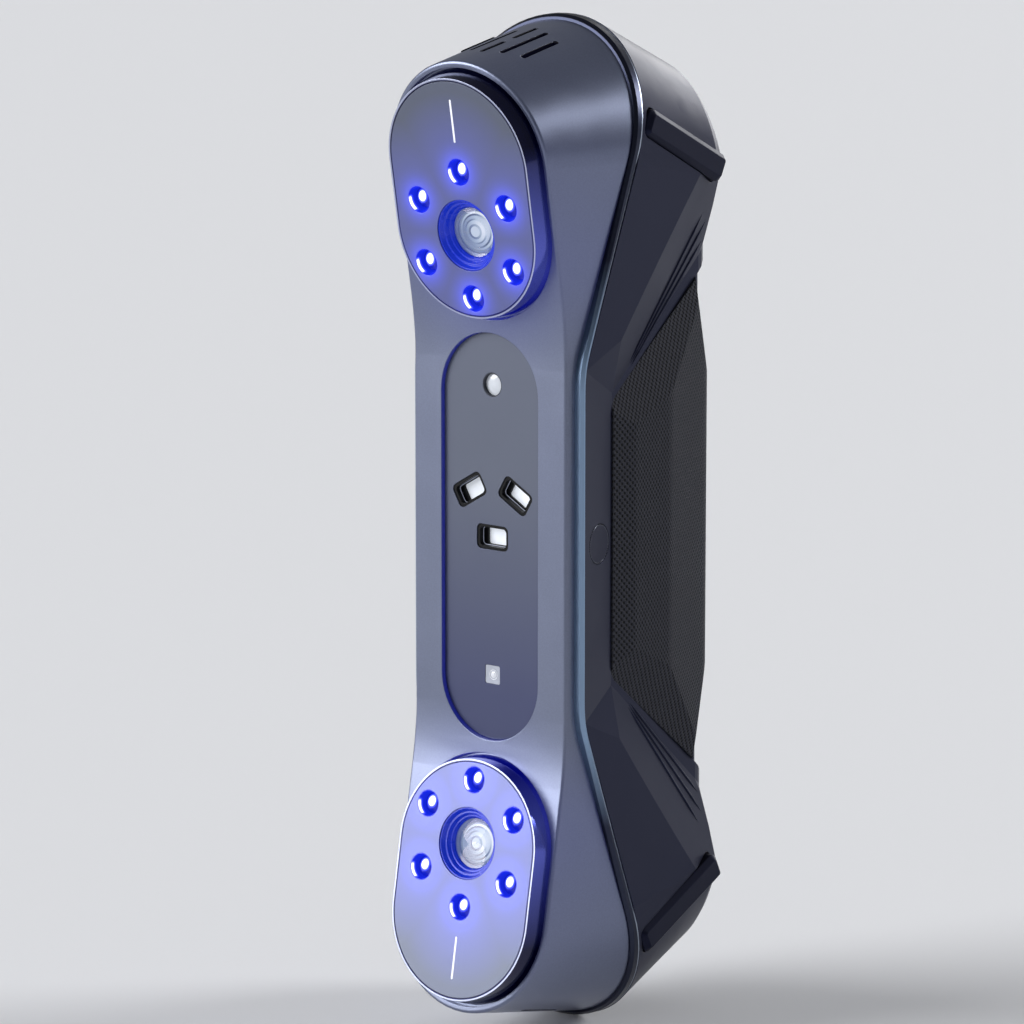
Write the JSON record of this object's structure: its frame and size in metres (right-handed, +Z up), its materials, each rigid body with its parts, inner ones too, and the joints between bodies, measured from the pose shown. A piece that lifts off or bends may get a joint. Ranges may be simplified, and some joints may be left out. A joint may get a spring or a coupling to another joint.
{
  "type": "handheld 3d scanner",
  "caption": "Upright hand-held 3D scanner with a dog-bone body, two toed-in camera pods ringed with lamps, a recessed laser plate, rubber grips and a flush side button.",
  "frame": {"origin": "middle of the scanner's bounding box", "axes": "+Z up along the length as held, -Y towards what is scanned, +X to the right of someone facing the cameras"},
  "size_m": [0.0524, 0.0631, 0.2154],
  "materials": {
    "shell_metal": "blue-grey anodised, satin",
    "band_metal": "pale blue-grey anodised, satin",
    "housing": "charcoal, fine matt grain",
    "grip_rubber": "near black, knurled",
    "bumper_rubber": "near black, smooth",
    "pod_body": "polished walls",
    "pod_plate": "grey, satin",
    "black_plastic": "black, matt",
    "lens_glass": "coated lens",
    "board": "solder resist",
    "lamp": "blue lamp",
    "centre_plate": "smoked grey, satin",
    "bench": "machined",
    "steel": "plated",
    "brass": "machined"
  },
  "bodies": {
    "scanner": {"front_shell": "shell_metal", "trim_band": "band_metal", "rear_housing": "housing", "rear_cover": "housing", "rear_cover_screws": "steel", "grip_right": "grip_rubber", "grip_left": "grip_rubber", "bumper_upper_right": "bumper_rubber", "bumper_upper_left": "bumper_rubber", "bumper_lower_right": "bumper_rubber", "bumper_lower_left": "bumper_rubber", "upper_pod_body": "pod_body", "upper_pod_plate": "pod_plate", "upper_lens_barrel": "black_plastic", "upper_camera_lens": "lens_glass", "upper_lamp_board": "board", "upper_lamps": "lamp", "upper_camera_module": "black_plastic", "lower_pod_body": "pod_body", "lower_pod_plate": "pod_plate", "lower_lens_barrel": "black_plastic", "lower_camera_lens": "lens_glass", "lower_lamp_board": "board", "lower_lamps": "lamp", "lower_camera_module": "black_plastic", "centre_plate": "centre_plate", "laser_module_left": "black_plastic", "laser_module_right": "black_plastic", "laser_module_lower": "black_plastic", "laser_window_left": "lens_glass", "laser_window_right": "lens_glass", "laser_window_lower": "lens_glass", "pattern_lens": "lens_glass", "pattern_projector": "black_plastic", "colour_camera_window": "lens_glass", "colour_camera": "black_plastic", "optical_bench": "bench", "bench_screws": "steel", "board_spacers": "bench", "main_board": "board", "usb_inlet": "steel", "tripod_insert": "brass", "button_switch": "board"},
    "button": {"side_button": "housing"}
  },
  "joints": [
    {"name": "side_button_press", "type": "slide", "parent": "scanner", "child": "button", "axis": [-0.9832, -0.1827, 0], "range_m": [0, 0.0006], "stiffness_N_per_m": 1200, "springref_m": -0.0008}
  ]
}
